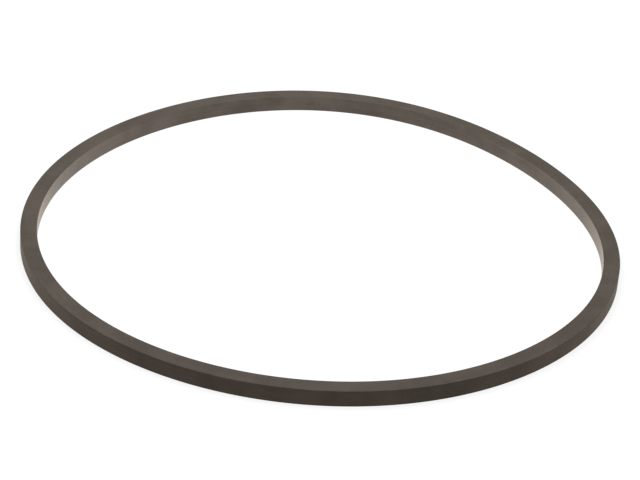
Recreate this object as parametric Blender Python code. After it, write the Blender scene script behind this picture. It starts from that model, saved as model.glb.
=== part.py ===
"""A square-cut ring seal: one endless cord of rubber with a square section.

The section is turned about the ring's axis, and the soft ring then lies a little out of round.
Metres, +Z up. The origin is the middle of the ring's outline, on the surface that it lies on.
"""

import math

import bmesh
import bpy

# The ring as it is cut, before it lies out of round
INSIDE_DIAMETER = 0.12024
SECTION_WIDTH = 0.00353
SECTION_HEIGHT = 0.00353
EDGE_RADIUS = 0.0001

# How far the lying ring swells and dips in three, four and five lobes, and where a lobe of each points
THREE_LOBE_SWELL = 0.00077
THREE_LOBE_ANGLE = math.radians(-28)
FOUR_LOBE_SWELL = 0.00028
FOUR_LOBE_ANGLE = math.radians(-2.6)
FIVE_LOBE_SWELL = 0.00009
FIVE_LOBE_ANGLE = math.radians(1.4)

# How finely the round shapes are drawn
STEPS_AROUND = 192
STEPS_PER_EDGE = 3

RUBBER_COLOUR = (0.062, 0.051, 0.039, 1.0)
RUBBER_ROUGHNESS = 0.6


def clear_scene():
    """Removes every object, so that only the ring is left at the end."""
    for obj in list(bpy.data.objects):
        bpy.data.objects.remove(obj, do_unlink=True)


def rubber():
    """Dull, warm dark grey rubber."""
    material = bpy.data.materials.new("rubber")
    material.use_nodes = True
    shader = material.node_tree.nodes["Principled BSDF"]
    shader.inputs["Base Color"].default_value = RUBBER_COLOUR
    shader.inputs["Roughness"].default_value = RUBBER_ROUGHNESS
    shader.inputs["Metallic"].default_value = 0.0
    return material


def swell(direction):
    """How far the lying ring stands out from its round shape in this direction, in metres."""
    return (
        THREE_LOBE_SWELL * math.cos(3 * (direction - THREE_LOBE_ANGLE))
        + FOUR_LOBE_SWELL * math.cos(4 * (direction - FOUR_LOBE_ANGLE))
        + FIVE_LOBE_SWELL * math.cos(5 * (direction - FIVE_LOBE_ANGLE))
    )


def draw_section(bm):
    """Draws the square section at +X with its four corners eased, and returns its outline."""
    inside = INSIDE_DIAMETER / 2
    outside = inside + SECTION_WIDTH
    places = (
        (inside, 0),
        (outside, 0),
        (outside, SECTION_HEIGHT),
        (inside, SECTION_HEIGHT),
    )
    corners = [bm.verts.new((radius, 0, height)) for radius, height in places]
    bm.faces.new(corners)
    largest_easing = 0.45 * min(SECTION_WIDTH, SECTION_HEIGHT)
    bmesh.ops.bevel(
        bm,
        geom=corners,
        offset=min(EDGE_RADIUS, largest_easing),
        offset_type="OFFSET",
        segments=STEPS_PER_EDGE,
        profile=0.5,
        affect="VERTICES",
    )
    bmesh.ops.delete(bm, geom=bm.faces[:], context="FACES_ONLY")
    return bm.edges[:]


def turn_section(bm, outline):
    """Turns the outline once about +Z and closes the ring on itself."""
    bmesh.ops.spin(
        bm,
        geom=outline,
        cent=(0, 0, 0),
        axis=(0, 0, 1),
        angle=math.tau,
        steps=STEPS_AROUND,
        use_merge=True,
    )
    bmesh.ops.recalc_face_normals(bm, faces=bm.faces)


def lay_down(bm):
    """Moves each point out or in by the swell of its direction, so the section keeps its width."""
    for vert in bm.verts:
        direction = math.atan2(vert.co.y, vert.co.x)
        push = swell(direction)
        vert.co.x += push * math.cos(direction)
        vert.co.y += push * math.sin(direction)


def centre(bm):
    """Puts the middle of the outline over the origin."""
    across = [vert.co.x for vert in bm.verts]
    along = [vert.co.y for vert in bm.verts]
    middle = (
        (min(across) + max(across)) / 2,
        (min(along) + max(along)) / 2,
        0,
    )
    bmesh.ops.translate(bm, verts=bm.verts, vec=[-part for part in middle])


def seal_ring():
    """The whole seal, as one piece of rubber."""
    bm = bmesh.new()
    outline = draw_section(bm)
    turn_section(bm, outline)
    lay_down(bm)
    centre(bm)
    mesh = bpy.data.meshes.new("seal_ring")
    bm.to_mesh(mesh)
    bm.free()
    mesh.materials.append(rubber())
    mesh.shade_smooth()
    mesh.set_sharp_from_angle(angle=math.radians(40))
    ring = bpy.data.objects.new("seal_ring", mesh)
    bpy.context.scene.collection.objects.link(ring)
    return ring


def main():
    clear_scene()
    seal_ring()


if __name__ == "__main__":
    main()
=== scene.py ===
"""A square-section rubber seal ring, lying flat on a pale studio floor.

The ring is turned from its eased square section, laid down slightly out of round, and finished as
a ring that was cut with a knife from a ground rubber tube.
"""

import math

import bpy
import numpy as np
from bpy.props import FloatProperty, FloatVectorProperty, IntProperty, PointerProperty
from mathutils import Matrix, Vector


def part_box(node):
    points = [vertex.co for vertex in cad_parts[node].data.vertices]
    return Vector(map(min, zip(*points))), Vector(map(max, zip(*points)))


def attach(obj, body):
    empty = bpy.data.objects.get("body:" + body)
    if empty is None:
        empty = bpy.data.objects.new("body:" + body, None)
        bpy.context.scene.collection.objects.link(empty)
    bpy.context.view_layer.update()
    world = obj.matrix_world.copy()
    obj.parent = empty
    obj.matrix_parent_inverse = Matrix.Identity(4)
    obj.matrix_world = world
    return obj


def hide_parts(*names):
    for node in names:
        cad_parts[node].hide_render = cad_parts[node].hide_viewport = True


bl_info = {
    "name": "Square-section seal ring",
    "version": (1, 0, 0),
    "blender": (4, 5, 0),
    "location": "3D View > Sidebar > Seal ring",
    "description": "Models a square-cut rubber seal ring, its finish and its studio",
    "category": "Add Mesh",
}

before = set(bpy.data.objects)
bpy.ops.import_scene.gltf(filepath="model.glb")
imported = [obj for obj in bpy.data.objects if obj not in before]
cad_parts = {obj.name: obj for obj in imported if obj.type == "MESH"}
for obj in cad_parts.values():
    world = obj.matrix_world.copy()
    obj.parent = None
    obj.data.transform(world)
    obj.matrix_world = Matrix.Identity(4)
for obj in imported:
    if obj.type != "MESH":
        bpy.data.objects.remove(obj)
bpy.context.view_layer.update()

# The solid that the ring stands for, and its lowest and highest corners
SOLID_NODE = "seal_ring"
RING_FOOT, RING_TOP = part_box(SOLID_NODE)

# The section has this many sides, and the lying ring swells in these numbers of lobes
SIDES = 4
LOBES = (3, 4, 5)

# Points closer than this are one point, where the turned section meets itself
MERGE_DISTANCE = 0.000001

# How much the wide faces pull the shading towards their own direction, where 100 is the most
WIDE_FACE_WEIGHT = 100

# What the mesh keeps: each point's place in the section, and the skin laid flat in metres
SECTION_PLACE = "section_place"
GIRTH_MAP = "girth"

# The skin laid out for baking: strips above one another, with a gap round each that is a share
# of the map's width
BAKE_MAP = "OFBake"
BAKE_STRIPS = 5
BAKE_GAP = 0.008

# The rubber is rubbed this far from a corner, in edge radii: fully up to the first distance, and
# not at all past the second
RUBBED_SPAN = (0.3, 1.8)

# Noise crowds about its middle value, so each use of it starts and ends at these
MOTTLE_SPAN = (0.40, 0.60)
WEAR_SPAN = (0.4, 0.7)
STREAK_SPAN = (0.3, 0.7)

# The floor lies this far under the ring, so that the two surfaces don't meet
FLOOR_DROP = 0.00002

# The camera's sensor, in millimetres, and how near it can see, in metres
SENSOR_WIDTH = 36.0
NEAR_CLIP = 0.01

WHITE = (1.0, 1.0, 1.0)


class RingSizes(bpy.types.PropertyGroup):
    """The sizes of the ring and how it lies."""

    inside_diameter: FloatProperty(
        name="Inside diameter",
        description="Inside diameter of the ring as cut, before it lies out of round",
        default=0.12024,
        unit="LENGTH",
    )
    section_width: FloatProperty(
        name="Section width",
        description="Width of the square section, from the bore to the outside",
        default=0.00353,
        unit="LENGTH",
    )
    section_height: FloatProperty(
        name="Section height",
        description="Height of the square section, between the two cut faces",
        default=RING_TOP.z - RING_FOOT.z,
        unit="LENGTH",
    )
    edge_radius: FloatProperty(
        name="Edge radius",
        description="Small rounding that the knife and handling leave on the four edges",
        default=0.0001,
        unit="LENGTH",
    )
    lobe_swells: FloatVectorProperty(
        name="Lobe swells",
        description="How far the lying ring swells in three, four and five lobes",
        default=(0.00077, 0.00028, 0.00009),
        unit="LENGTH",
    )
    lobe_angles: FloatVectorProperty(
        name="Lobe angles",
        description="Direction in which one lobe of the three, four and five points",
        default=(math.radians(-28), math.radians(-2.6), math.radians(1.4)),
        subtype="EULER",
    )
    steps_around: IntProperty(
        name="Steps around",
        description="Faces in one turn of the ring",
        default=800,
    )
    steps_per_edge: IntProperty(
        name="Steps per edge",
        description="Faces across each rounded edge",
        default=6,
    )


class RubberFinish(bpy.types.PropertyGroup):
    """The colours, gloss and marks of the rubber."""

    dark_colour: FloatVectorProperty(
        name="Dark colour",
        description="The darker of the two tones that mottle the rubber",
        subtype="COLOR",
        default=(0.0595, 0.0490, 0.0404),
    )
    light_colour: FloatVectorProperty(
        name="Light colour",
        description="The lighter of the two tones that mottle the rubber",
        subtype="COLOR",
        default=(0.0865, 0.0719, 0.0604),
    )
    mottle_shares: FloatVectorProperty(
        name="Mottle shares",
        description="How much the clouds, the grain and the tool lines each add to the mottle",
        default=(0.45, 0.25, 0.3),
    )
    # Painted light: the outer wall's colour is scaled against the cut faces, a little redder and
    # less blue, to match how the lit wall looks
    outer_wall_painted_light: FloatVectorProperty(
        name="Outer wall tone",
        description="Red, green and blue of the ground outer wall, against the cut faces",
        default=(1.06, 0.98, 0.93),
    )
    # Painted light: the inner wall is painted about one and a half times lighter than the cut
    # faces, standing in for light the softbox over the ring doesn't give it
    inner_wall_painted_light: FloatVectorProperty(
        name="Inner wall tone",
        description="Red, green and blue of the moulded inner wall, against the cut faces",
        default=(1.57, 1.55, 1.54),
    )
    rubbed_colour: FloatVectorProperty(
        name="Rubbed colour",
        description="Rubber rubbed a little paler along the four edges",
        subtype="COLOR",
        default=(0.092, 0.079, 0.067),
    )
    edge_wear: FloatVectorProperty(
        name="Edge wear",
        description="How much the edges are rubbed, where they are rubbed least and most",
        size=2,
        default=(0.1, 0.5),
    )
    face_roughness: FloatVectorProperty(
        name="Roughness",
        description="Roughness of the cut faces, the ground outer wall and the moulded inner wall",
        default=(0.7, 0.9, 0.42),
    )
    streak_roughness: FloatProperty(
        name="Streak roughness",
        description="How much rougher or smoother than their face the tool lines are",
        default=0.08,
    )
    shine: FloatProperty(
        name="Shine",
        description="Strength of the rubber's own gloss, where 0.5 is a usual plastic",
        default=0.12,
    )
    bloom: FloatProperty(
        name="Bloom",
        description="Strength of the soft wax bloom that lights up at low angles",
        default=0.42,
    )
    bloom_colour: FloatVectorProperty(
        name="Bloom colour",
        description="Colour of the wax bloom",
        subtype="COLOR",
        default=(1.0, 0.87, 0.71),
    )
    bloom_roughness: FloatProperty(
        name="Bloom roughness",
        description="How far the bloom reaches from the lowest angles towards a straight look",
        default=0.5,
    )
    tool_line_width: FloatProperty(
        name="Tool line width",
        description="Width of the fine lines that the knife and the grinding wheel leave",
        default=0.00045,
        unit="LENGTH",
    )
    tool_line_length: FloatProperty(
        name="Tool line length",
        description="How far one tool line runs along the ring",
        default=0.03,
        unit="LENGTH",
    )
    tool_line_depth: FloatVectorProperty(
        name="Tool line depth",
        description="Depth of the lines on the cut faces, the outer wall and the inner wall",
        default=(0.000030, 0.000020, 0.000008),
        unit="LENGTH",
    )
    grain_size: FloatProperty(
        name="Grain size",
        description="Size of the fine grain in the rubber",
        default=0.00024,
        unit="LENGTH",
    )
    grain_depth: FloatVectorProperty(
        name="Grain depth",
        description="Depth of the grain on the cut faces, the outer wall and the inner wall",
        default=(0.000014, 0.000020, 0.000008),
        unit="LENGTH",
    )
    cloud_size: FloatProperty(
        name="Cloud size",
        description="Size of the soft clouds of tone in the rubber",
        default=0.006,
        unit="LENGTH",
    )


class Studio(bpy.types.PropertyGroup):
    """The floor, the light and the camera."""

    floor_size: FloatProperty(
        name="Floor size",
        description="Width of the pale floor",
        default=6.0,
        unit="LENGTH",
    )
    floor_colour: FloatVectorProperty(
        name="Floor colour",
        description="Colour of the pale floor",
        subtype="COLOR",
        default=(0.9, 0.9, 0.9),
    )
    floor_white: FloatProperty(
        name="Floor white",
        description="How bright the open floor looks to the camera, where 1 is white",
        default=1.0,
    )
    floor_lit: FloatProperty(
        name="Floor lit",
        description="How bright the softbox makes the floor straight under it",
        default=0.79,
    )
    shadow_depth: FloatProperty(
        name="Shadow depth",
        description="The matt share of the floor, and so how deep the ring's shadow on it is",
        default=0.2,
    )
    lamp_place: FloatVectorProperty(
        name="Lamp place",
        description="Middle of the round softbox, a little behind and left of the ring's middle",
        default=(-0.009, 0.010, 0.2),
        subtype="TRANSLATION",
        unit="LENGTH",
    )
    lamp_width: FloatProperty(
        name="Lamp width",
        description="Width of the round softbox",
        default=0.14,
        unit="LENGTH",
    )
    lamp_power: FloatProperty(
        name="Lamp power",
        description="Power of the softbox",
        default=0.392,
        unit="POWER",
    )
    room_light: FloatProperty(
        name="Room light",
        description="Strength of the even light from all round",
        default=0.2,
    )
    camera_distance: FloatProperty(
        name="Camera distance",
        description="From the camera to the middle of the ring",
        default=0.5052,
        unit="LENGTH",
    )
    camera_elevation: FloatProperty(
        name="Camera elevation",
        description="How far the camera looks down",
        default=math.radians(30.2),
        subtype="ANGLE",
    )
    camera_roll: FloatProperty(
        name="Camera roll",
        description="How far the camera leans to its left",
        default=math.radians(4.18),
        subtype="ANGLE",
    )
    camera_lens: FloatProperty(
        name="Camera lens",
        description="Focal length on a sensor 36 mm wide",
        default=131.87,
        unit="CAMERA",
    )
    camera_shift: FloatVectorProperty(
        name="Camera shift",
        description="How far the picture is moved to the left and down, in sensor widths",
        size=2,
        default=(0.0003, 0.0006),
    )


def select_only(piece):
    """Makes this the one selected object, and nothing if it is None."""
    bpy.ops.object.select_all(action="DESELECT")
    if piece is not None:
        piece.select_set(True)
        bpy.context.view_layer.objects.active = piece


def swell(sizes, direction):
    """How far the lying ring stands out from its round shape in this direction, in metres."""
    return sum(
        depth * np.cos(lobes * (direction - angle))
        for lobes, depth, angle in zip(LOBES, sizes.lobe_swells, sizes.lobe_angles)
    )


def outline_middle(sizes):
    """The middle of the lying ring's outline, seen from the middle of its round shape."""
    direction = np.linspace(0, math.tau, sizes.steps_around, endpoint=False)
    radius = sizes.inside_diameter / 2 + sizes.section_width + swell(sizes, direction)
    across, along = radius * np.cos(direction), radius * np.sin(direction)
    return Vector((np.ptp(across) / 2 + across.min(), np.ptp(along) / 2 + along.min(), 0))


def middle_radius(sizes):
    """From the ring's axis to the middle of its section, before it lies out of round."""
    return (sizes.inside_diameter + sizes.section_width) / 2


def draw_section(sizes):
    """Adds a plane at +X, stands it up and eases its corners: the ring's section."""
    select_only(None)
    middle = (middle_radius(sizes), 0, sizes.section_height / 2)
    bpy.ops.mesh.primitive_plane_add(
        size=1, calc_uvs=False, location=middle, rotation=(math.pi / 2, 0, 0)
    )
    piece = bpy.context.object
    piece.name = piece.data.name = "rubber_ring"
    bpy.ops.object.transform_apply(location=True, rotation=True, scale=True)
    bpy.ops.object.mode_set(mode="EDIT")
    bpy.ops.mesh.select_all(action="SELECT")
    bpy.ops.transform.resize(
        value=(sizes.section_width, 1, sizes.section_height), center_override=middle
    )
    bpy.ops.mesh.bevel(
        offset=sizes.edge_radius, segments=sizes.steps_per_edge, affect="VERTICES"
    )
    bpy.ops.mesh.delete(type="ONLY_FACE")
    return piece


def turn_section(sizes):
    """Spins the section once about +Z and closes the ring on itself."""
    bpy.ops.mesh.select_all(action="SELECT")
    bpy.ops.mesh.spin(
        steps=sizes.steps_around,
        angle=math.tau,
        use_auto_merge=True,
        center=(0, 0, 0),
        axis=(0, 0, 1),
    )
    bpy.ops.mesh.select_all(action="SELECT")
    bpy.ops.mesh.remove_doubles(threshold=MERGE_DISTANCE)
    bpy.ops.mesh.normals_make_consistent(inside=False)
    bpy.ops.object.mode_set(mode="OBJECT")


def vertex_places(mesh):
    """All vertices of the mesh, as rows of x, y and z."""
    places = np.empty(len(mesh.vertices) * 3)
    mesh.vertices.foreach_get("co", places)
    return places.reshape(-1, 3)


def mark_section(piece, sizes):
    """Keeps each vertex's place in the section: outwards and upwards from its middle."""
    places = vertex_places(piece.data)
    outwards = np.hypot(places[:, 0], places[:, 1]) - middle_radius(sizes)
    upwards = places[:, 2] - sizes.section_height / 2
    marks = piece.data.attributes.new(SECTION_PLACE, "FLOAT_VECTOR", "POINT")
    flat = np.stack([outwards, upwards, np.zeros_like(outwards)], axis=1)
    marks.data.foreach_set("vector", flat.ravel())
    return outwards, upwards


def sides_round(outwards, upwards, sizes):
    """How many sides of the section lie between its lower inner corner and each point."""
    side_angle = math.tau / SIDES
    wide = outwards / (sizes.section_width / 2)
    high = upwards / (sizes.section_height / 2)
    # That corner comes one and a half sides before the middle of the outer wall
    angle = (np.arctan2(high, wide) + 1.5 * side_angle) % math.tau
    side = np.floor(angle / side_angle)
    within = np.tan(angle - (side + 0.5) * side_angle)
    return side + 0.5 + within / 2


def near_face(values, whole, of_faces):
    """Adds or takes off whole turns so that each corner's value lies near its face's."""
    return values + whole * np.round((of_faces - values) / whole)


def face_means(values, starts, counts, whole):
    """Each face's mean of a value that goes round, repeated for each of its corners."""
    turns = values / whole * math.tau
    east = np.add.reduceat(np.cos(turns), starts)
    north = np.add.reduceat(np.sin(turns), starts)
    mean = (np.arctan2(north, east) % math.tau) / math.tau * whole
    return np.repeat(mean, counts)


def add_map(mesh, name, along, up):
    """Adds a UV map, given each face corner's place in it."""
    layer = mesh.uv_layers.new(name=name)
    layer.data.foreach_set("uv", np.stack([along, up], axis=1).ravel())


def unroll(piece, sizes, outwards, upwards):
    """Lays the ring's skin out flat twice: in strips that fill a square, and in metres."""
    mesh = piece.data
    places = vertex_places(mesh)
    corner = np.empty(len(mesh.loops), np.int32)
    mesh.loops.foreach_get("vertex_index", corner)
    starts = np.array([face.loop_start for face in mesh.polygons])
    counts = np.array([face.loop_total for face in mesh.polygons])

    # How far round the ring, and how many sides round its section, each face corner lies
    turn = (np.arctan2(places[:, 1], places[:, 0]) / math.tau % 1)[corner]
    turn = near_face(turn, 1, face_means(turn, starts, counts, 1))
    side = sides_round(outwards, upwards, sizes)[corner]
    side = near_face(side, SIDES, face_means(side, starts, counts, SIDES))

    face_turn = np.repeat(np.add.reduceat(turn, starts) / counts, counts)
    strip = np.clip(np.floor(face_turn * BAKE_STRIPS), 0, BAKE_STRIPS - 1)
    along = BAKE_GAP + (turn * BAKE_STRIPS - strip) * (1 - 2 * BAKE_GAP)
    up = (strip + side / SIDES * (1 - 2 * BAKE_GAP * BAKE_STRIPS)) / BAKE_STRIPS + BAKE_GAP
    add_map(mesh, BAKE_MAP, along, up)

    add_map(mesh, GIRTH_MAP, turn * math.tau * middle_radius(sizes), side * sizes.section_width)


def lay_down(piece, sizes):
    """Moves each vertex by the swell of its direction, and centres the outline."""
    places = vertex_places(piece.data)
    direction = np.arctan2(places[:, 1], places[:, 0])
    push = swell(sizes, direction)
    places[:, 0] += push * np.cos(direction)
    places[:, 1] += push * np.sin(direction)
    cad_middle = (RING_FOOT + RING_TOP) / 2
    shift = Vector((cad_middle.x, cad_middle.y, RING_FOOT.z)) - outline_middle(sizes)
    places += np.array(shift)
    piece.data.vertices.foreach_set("co", places.ravel())
    piece.data.update()


def shade(piece):
    """Smooth shading that keeps the wide faces flat right up to their rounded edges."""
    select_only(piece)
    bpy.ops.object.shade_smooth()
    weighted = piece.modifiers.new("flat_faces", "WEIGHTED_NORMAL")
    weighted.mode = "FACE_AREA"
    weighted.weight = WIDE_FACE_WEIGHT
    bpy.ops.object.modifier_apply(modifier=weighted.name)


class Nodes:
    """Adds nodes to a material's tree and joins them."""

    def __init__(self, tree):
        self.tree = tree

    def add(self, kind, **settings):
        """A new node of this kind, with these settings."""
        node = self.tree.nodes.new(kind)
        for name, value in settings.items():
            setattr(node, name, value)
        return node

    def join(self, source, target):
        """Links a socket to another, or sets a plain value on it."""
        if isinstance(source, bpy.types.NodeSocket):
            self.tree.links.new(source, target)
        else:
            target.default_value = source

    def split(self, vector):
        """The X, Y and Z of a vector."""
        apart = self.add("ShaderNodeSeparateXYZ")
        self.join(vector, apart.inputs["Vector"])
        return apart.outputs["X"], apart.outputs["Y"], apart.outputs["Z"]

    def maths(self, operation, first, second=0.0, third=0.0, clamp=False):
        """The result of one sum, held between 0 and 1 if it is clamped."""
        node = self.add("ShaderNodeMath", operation=operation, use_clamp=clamp)
        for value, socket in zip((first, second, third), node.inputs):
            self.join(value, socket)
        return node.outputs["Value"]

    def spread(self, value, low, high, to_low=0.0, to_high=1.0, smooth=True):
        """Maps low to high onto to_low to to_high, and holds the ends."""
        node = self.add("ShaderNodeMapRange", clamp=True)
        node.interpolation_type = "SMOOTHSTEP" if smooth else "LINEAR"
        for amount, name in (
            (value, "Value"),
            (low, "From Min"),
            (high, "From Max"),
            (to_low, "To Min"),
            (to_high, "To Max"),
        ):
            self.join(amount, node.inputs[name])
        return node.outputs["Result"]

    def between(self, share, first, second):
        """The number that lies this share of the way from the first to the second."""
        return self.spread(share, 0.0, 1.0, first, second, smooth=False)

    def mix(self, share, first, second):
        """The colour that lies this share of the way from the first to the second."""
        node = self.add("ShaderNodeMix", data_type="RGBA", clamp_factor=True)
        self.join(share, node.inputs["Factor"])
        self.join(first, node.inputs["A"])
        self.join(second, node.inputs["B"])
        return node.outputs["Result"]

    def noise(self, place, size, detail=2.0, roughness=0.5):
        """Soft noise whose features are about this size in metres."""
        node = self.add("ShaderNodeTexNoise", noise_dimensions="3D")
        self.join(place, node.inputs["Vector"])
        self.join(1 / size, node.inputs["Scale"])
        self.join(detail, node.inputs["Detail"])
        self.join(roughness, node.inputs["Roughness"])
        return node.outputs["Fac"]


def colour_of(value):
    """Red, green and blue with the fourth number that a colour socket takes."""
    return (*value, 1.0)


class Faces:
    """Tells the cut faces, the two walls and the four edges apart, with numbers from 0 to 1."""

    def __init__(self, nodes, sizes):
        self.nodes = nodes
        marks = nodes.add("ShaderNodeAttribute", attribute_name=SECTION_PLACE)
        outwards, upwards, _ = nodes.split(marks.outputs["Vector"])
        from_wall = nodes.maths(
            "SUBTRACT", sizes.section_width / 2, nodes.maths("ABSOLUTE", outwards)
        )
        from_cut = nodes.maths(
            "SUBTRACT", sizes.section_height / 2, nodes.maths("ABSOLUTE", upwards)
        )
        nearer_cut = nodes.maths("SUBTRACT", from_wall, from_cut)
        self.is_cut = nodes.spread(nearer_cut, -sizes.edge_radius, sizes.edge_radius)
        self.is_outer = nodes.spread(outwards, -sizes.edge_radius, sizes.edge_radius)
        from_edge = nodes.maths("MAXIMUM", from_wall, from_cut)
        rubbed, unrubbed = (radii * sizes.edge_radius for radii in RUBBED_SPAN)
        self.is_edge = nodes.spread(from_edge, rubbed, unrubbed, 1.0, 0.0)

    def pick(self, cut, outer, inner):
        """The number for the face that each point is on, blended over the rounded edges."""
        wall = self.nodes.between(self.is_outer, inner, outer)
        return self.nodes.between(self.is_cut, wall, cut)

    def pick_painted_wall_light(self, outer, inner):
        """The painted light of the face that each point is on: the walls are painted lighter and
        tinted against the cut faces, which stay plain 1.
        """
        wall = self.nodes.mix(self.is_outer, colour_of(inner), colour_of(outer))
        return self.nodes.mix(self.is_cut, wall, colour_of(WHITE))


def tool_lines(nodes, finish, place):
    """Noise that runs along the ring and changes fast across it, as tool marks do."""
    across, along, _ = nodes.split(place)
    girth = nodes.add("ShaderNodeUVMap", uv_map=GIRTH_MAP)
    _, round_section, _ = nodes.split(girth.outputs["UV"])
    stretched = nodes.add("ShaderNodeCombineXYZ")
    slow, fast = 1 / finish.tool_line_length, 1 / finish.tool_line_width
    nodes.join(nodes.maths("MULTIPLY", across, slow), stretched.inputs["X"])
    nodes.join(nodes.maths("MULTIPLY", along, slow), stretched.inputs["Y"])
    nodes.join(nodes.maths("MULTIPLY", round_section, fast), stretched.inputs["Z"])
    return nodes.noise(stretched.outputs["Vector"], 1.0, detail=4.0, roughness=0.6)


def rubber_colour(nodes, finish, faces, patterns):
    """Two mottled tones, with painted light on the two walls, and rubbed paler along the edges."""
    clouds, _, _ = patterns
    mottle = 0.0
    for pattern, share in zip(patterns, finish.mottle_shares):
        mottle = nodes.maths("MULTIPLY_ADD", pattern, share, mottle)
    lightness = nodes.spread(mottle, *MOTTLE_SPAN)
    mottled = nodes.mix(
        lightness, colour_of(finish.dark_colour), colour_of(finish.light_colour)
    )
    # Painted light: the walls' colour is scaled against the cut faces
    mottled_with_wall_light = nodes.add("ShaderNodeVectorMath", operation="MULTIPLY")
    nodes.join(mottled, mottled_with_wall_light.inputs[0])
    nodes.join(faces.pick_painted_wall_light(finish.outer_wall_painted_light, finish.inner_wall_painted_light), mottled_with_wall_light.inputs[1])

    patchy = nodes.spread(clouds, *WEAR_SPAN, *finish.edge_wear)
    wear = nodes.maths("MULTIPLY", faces.is_edge, patchy)
    return nodes.mix(wear, mottled_with_wall_light.outputs["Vector"], colour_of(finish.rubbed_colour))


def rubber_roughness(nodes, finish, faces, patterns):
    """The roughness of each face, a little higher and lower along the tool lines."""
    _, _, lines = patterns
    most = finish.streak_roughness
    streaks = nodes.spread(lines, *STREAK_SPAN, -most, most, smooth=False)
    return nodes.maths("ADD", faces.pick(*finish.face_roughness), streaks, clamp=True)


def rubber_relief(nodes, finish, faces, patterns):
    """The tool lines and the grain, as deep as each face has them, as a bumpy normal."""
    _, grain, lines = patterns
    line_relief = nodes.maths("MULTIPLY", lines, faces.pick(*finish.tool_line_depth))
    relief = nodes.maths("MULTIPLY_ADD", grain, faces.pick(*finish.grain_depth), line_relief)
    bump = nodes.add("ShaderNodeBump")
    # The relief is in metres already, so its height is taken as it is
    bump.inputs["Distance"].default_value = 1.0
    nodes.join(relief, bump.inputs["Height"])
    return bump.outputs["Normal"]


def dull_rubber(sizes, finish):
    """Warm dark grey rubber, mottled, with tool lines, grain and a wax bloom."""
    material = bpy.data.materials.new("dull_rubber")
    material.use_nodes = True
    nodes = Nodes(material.node_tree)
    shader = material.node_tree.nodes["Principled BSDF"]
    faces = Faces(nodes, sizes)
    place = nodes.add("ShaderNodeTexCoord").outputs["Object"]
    patterns = (
        nodes.noise(place, finish.cloud_size, detail=3.0),
        nodes.noise(place, finish.grain_size, detail=3.0, roughness=0.6),
        tool_lines(nodes, finish, place),
    )
    for layer, socket in (
        (rubber_colour, "Base Color"),
        (rubber_roughness, "Roughness"),
        (rubber_relief, "Normal"),
    ):
        nodes.join(layer(nodes, finish, faces, patterns), shader.inputs[socket])
    shader.inputs["Specular IOR Level"].default_value = finish.shine
    shader.inputs["Sheen Weight"].default_value = finish.bloom
    shader.inputs["Sheen Roughness"].default_value = finish.bloom_roughness
    shader.inputs["Sheen Tint"].default_value = colour_of(finish.bloom_colour)
    return material


class SEAL_OT_ring(bpy.types.Operator):
    """Models the rubber ring, lays it down and gives it its finish"""

    bl_idname = "seal.ring"
    bl_label = "Seal ring"
    bl_options = {"REGISTER", "UNDO"}

    def execute(self, context):
        sizes = context.scene.seal_sizes
        finish = context.scene.seal_finish
        piece = draw_section(sizes)
        turn_section(sizes)
        outwards, upwards = mark_section(piece, sizes)
        unroll(piece, sizes, outwards, upwards)
        lay_down(piece, sizes)
        shade(piece)
        piece.data.materials.append(dull_rubber(sizes, finish))
        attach(piece, "root")
        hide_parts(SOLID_NODE)
        return {"FINISHED"}


def seen_directly(nodes):
    """1 for what the camera sees, itself, in a reflection or through glass, and else 0."""
    path = nodes.add("ShaderNodeLightPath")
    seen = nodes.maths(
        "MAXIMUM", path.outputs["Is Camera Ray"], path.outputs["Is Glossy Ray"]
    )
    return nodes.maths("MAXIMUM", seen, path.outputs["Is Transmission Ray"])


def softbox_falloff(nodes, studio):
    """How bright the softbox makes the floor: 1 straight under it, and less further out.

    A floor under a lamp darkens with the fourth power of the cosine of the angle at the lamp.
    """
    lamp_x, lamp_y, lamp_height = studio.lamp_place
    distance = nodes.add("ShaderNodeVectorMath", operation="DISTANCE")
    nodes.join(nodes.add("ShaderNodeTexCoord").outputs["Object"], distance.inputs[0])
    nodes.join((lamp_x, lamp_y, 0.0), distance.inputs[1])
    tangent = nodes.maths("DIVIDE", distance.outputs["Value"], lamp_height)
    secant_squared = nodes.maths("MULTIPLY_ADD", tangent, tangent, 1.0)
    return nodes.maths("POWER", secant_squared, -2.0)


def floor_paint(studio):
    """Pale paint that looks white with a faint shadow, near the softbox and far from it.

    A share of it is matt and catches the ring's shadow, and the rest is a glow: painted light,
    shaped like the softbox's pool on the floor, that lights the ring without the ring's shadow in
    it.
    """
    material = bpy.data.materials.new("pale_floor")
    material.use_nodes = True
    nodes = Nodes(material.node_tree)
    material.node_tree.nodes.remove(material.node_tree.nodes["Principled BSDF"])
    matt_share, glow_share = studio.shadow_depth, 1 - studio.shadow_depth
    matt = nodes.add("ShaderNodeBsdfDiffuse")
    matt_colour = [part * matt_share for part in studio.floor_colour]
    nodes.join(colour_of(matt_colour), matt.inputs["Color"])

    # To the ring the glow is painted light: what the rest of the paint would send back under the
    # softbox, but without the ring's shadow. To the camera it is what the matt share leaves short
    # of white
    falloff = softbox_falloff(nodes, studio)
    from_room = studio.room_light * studio.floor_colour.v
    painted_bounce_glow = nodes.maths(
        "MULTIPLY_ADD", falloff, studio.floor_lit * glow_share, from_room * glow_share
    )
    lit = nodes.maths("MULTIPLY", falloff, studio.floor_lit * matt_share)
    lift = nodes.maths("SUBTRACT", studio.floor_white, lit)
    glow = nodes.add("ShaderNodeEmission")
    strength = nodes.between(seen_directly(nodes), painted_bounce_glow, lift)
    nodes.join(strength, glow.inputs["Strength"])

    both = nodes.add("ShaderNodeAddShader")
    nodes.join(matt.outputs["BSDF"], both.inputs[0])
    nodes.join(glow.outputs["Emission"], both.inputs[1])
    output = material.node_tree.nodes["Material Output"]
    nodes.join(both.outputs["Shader"], output.inputs["Surface"])
    return material


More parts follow.
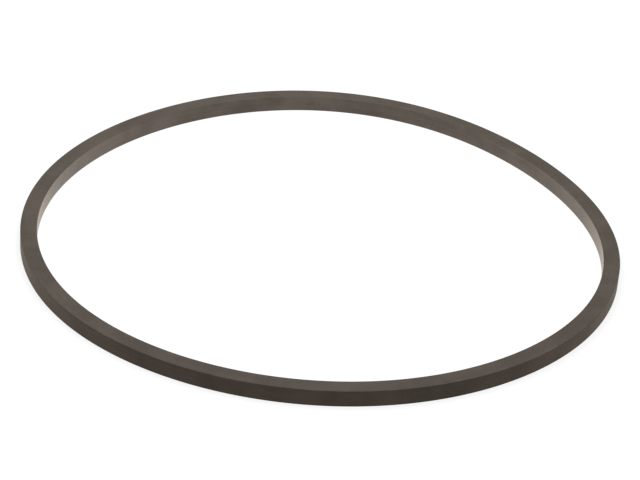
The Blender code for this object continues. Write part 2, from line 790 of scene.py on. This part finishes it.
def lay_floor(studio):
    """A wide flat floor just under the ring."""
    select_only(None)
    bpy.ops.mesh.primitive_plane_add(
        size=studio.floor_size, location=(0, 0, RING_FOOT.z - FLOOR_DROP)
    )
    floor = bpy.context.object
    floor.name = "floor"
    floor.data.materials.append(floor_paint(studio))


def hang_lamp(studio):
    """A round softbox over the ring, facing straight down."""
    select_only(None)
    bpy.ops.object.light_add(type="AREA", location=studio.lamp_place)
    lamp = bpy.context.object
    lamp.name = "softbox"
    lamp.data.shape = "DISK"
    lamp.data.size = studio.lamp_width
    lamp.data.energy = studio.lamp_power


def light_room(studio):
    """Even pale light from all round, white where the camera sees it."""
    world = bpy.data.worlds.new("pale_room")
    world.use_nodes = True
    nodes = Nodes(world.node_tree)
    background = world.node_tree.nodes["Background"]
    background.inputs["Color"].default_value = colour_of(WHITE)
    strength = nodes.between(seen_directly(nodes), studio.room_light, 1.0)
    nodes.join(strength, background.inputs["Strength"])
    bpy.context.scene.world = world


def place_camera(studio, sizes):
    """A long lens that looks down on the middle of the ring's round shape."""
    aim = -outline_middle(sizes)
    away = Matrix.Rotation(-studio.camera_elevation, 4, "X") @ Vector(
        (0, -studio.camera_distance, 0)
    )
    select_only(None)
    bpy.ops.object.camera_add(location=aim + away)
    camera = bpy.context.object
    camera.name = "camera"
    level = (-away).to_track_quat("-Z", "Y").to_matrix().to_4x4()
    leaning = level @ Matrix.Rotation(studio.camera_roll, 4, "Z")
    camera.rotation_euler = leaning.to_euler()
    camera.data.lens = studio.camera_lens
    camera.data.sensor_width = SENSOR_WIDTH
    camera.data.shift_x, camera.data.shift_y = studio.camera_shift
    camera.data.clip_start = NEAR_CLIP
    bpy.context.scene.camera = camera


class SEAL_OT_stage(bpy.types.Operator):
    """Lays the pale floor, hangs the softbox and places the camera"""

    bl_idname = "seal.stage"
    bl_label = "Stage"
    bl_options = {"REGISTER", "UNDO"}

    def execute(self, context):
        studio = context.scene.seal_studio
        lay_floor(studio)
        hang_lamp(studio)
        light_room(studio)
        place_camera(studio, context.scene.seal_sizes)
        context.scene.view_settings.view_transform = "Standard"
        return {"FINISHED"}


class SEAL_PT_panel(bpy.types.Panel):
    """Lists the ring and its stage, with their sizes and colours"""

    bl_idname = "SEAL_PT_panel"
    bl_label = "Seal ring"
    bl_space_type = "VIEW_3D"
    bl_region_type = "UI"
    bl_category = "Seal ring"

    def draw(self, context):
        scene = context.scene
        for operator, groups in (
            (SEAL_OT_ring, (scene.seal_sizes, scene.seal_finish)),
            (SEAL_OT_stage, (scene.seal_studio,)),
        ):
            self.layout.operator(operator.bl_idname)
            for group in groups:
                for name in group.__annotations__:
                    self.layout.prop(group, name)


CLASSES = (
    RingSizes,
    RubberFinish,
    Studio,
    SEAL_OT_ring,
    SEAL_OT_stage,
    SEAL_PT_panel,
)


def register():
    for cls in CLASSES:
        bpy.utils.register_class(cls)
    bpy.types.Scene.seal_sizes = PointerProperty(type=RingSizes)
    bpy.types.Scene.seal_finish = PointerProperty(type=RubberFinish)
    bpy.types.Scene.seal_studio = PointerProperty(type=Studio)


def unregister():
    del bpy.types.Scene.seal_studio
    del bpy.types.Scene.seal_finish
    del bpy.types.Scene.seal_sizes
    for cls in reversed(CLASSES):
        bpy.utils.unregister_class(cls)


def main():
    register()
    bpy.ops.seal.ring()
    bpy.ops.seal.stage()


if __name__ == "__main__":
    main()
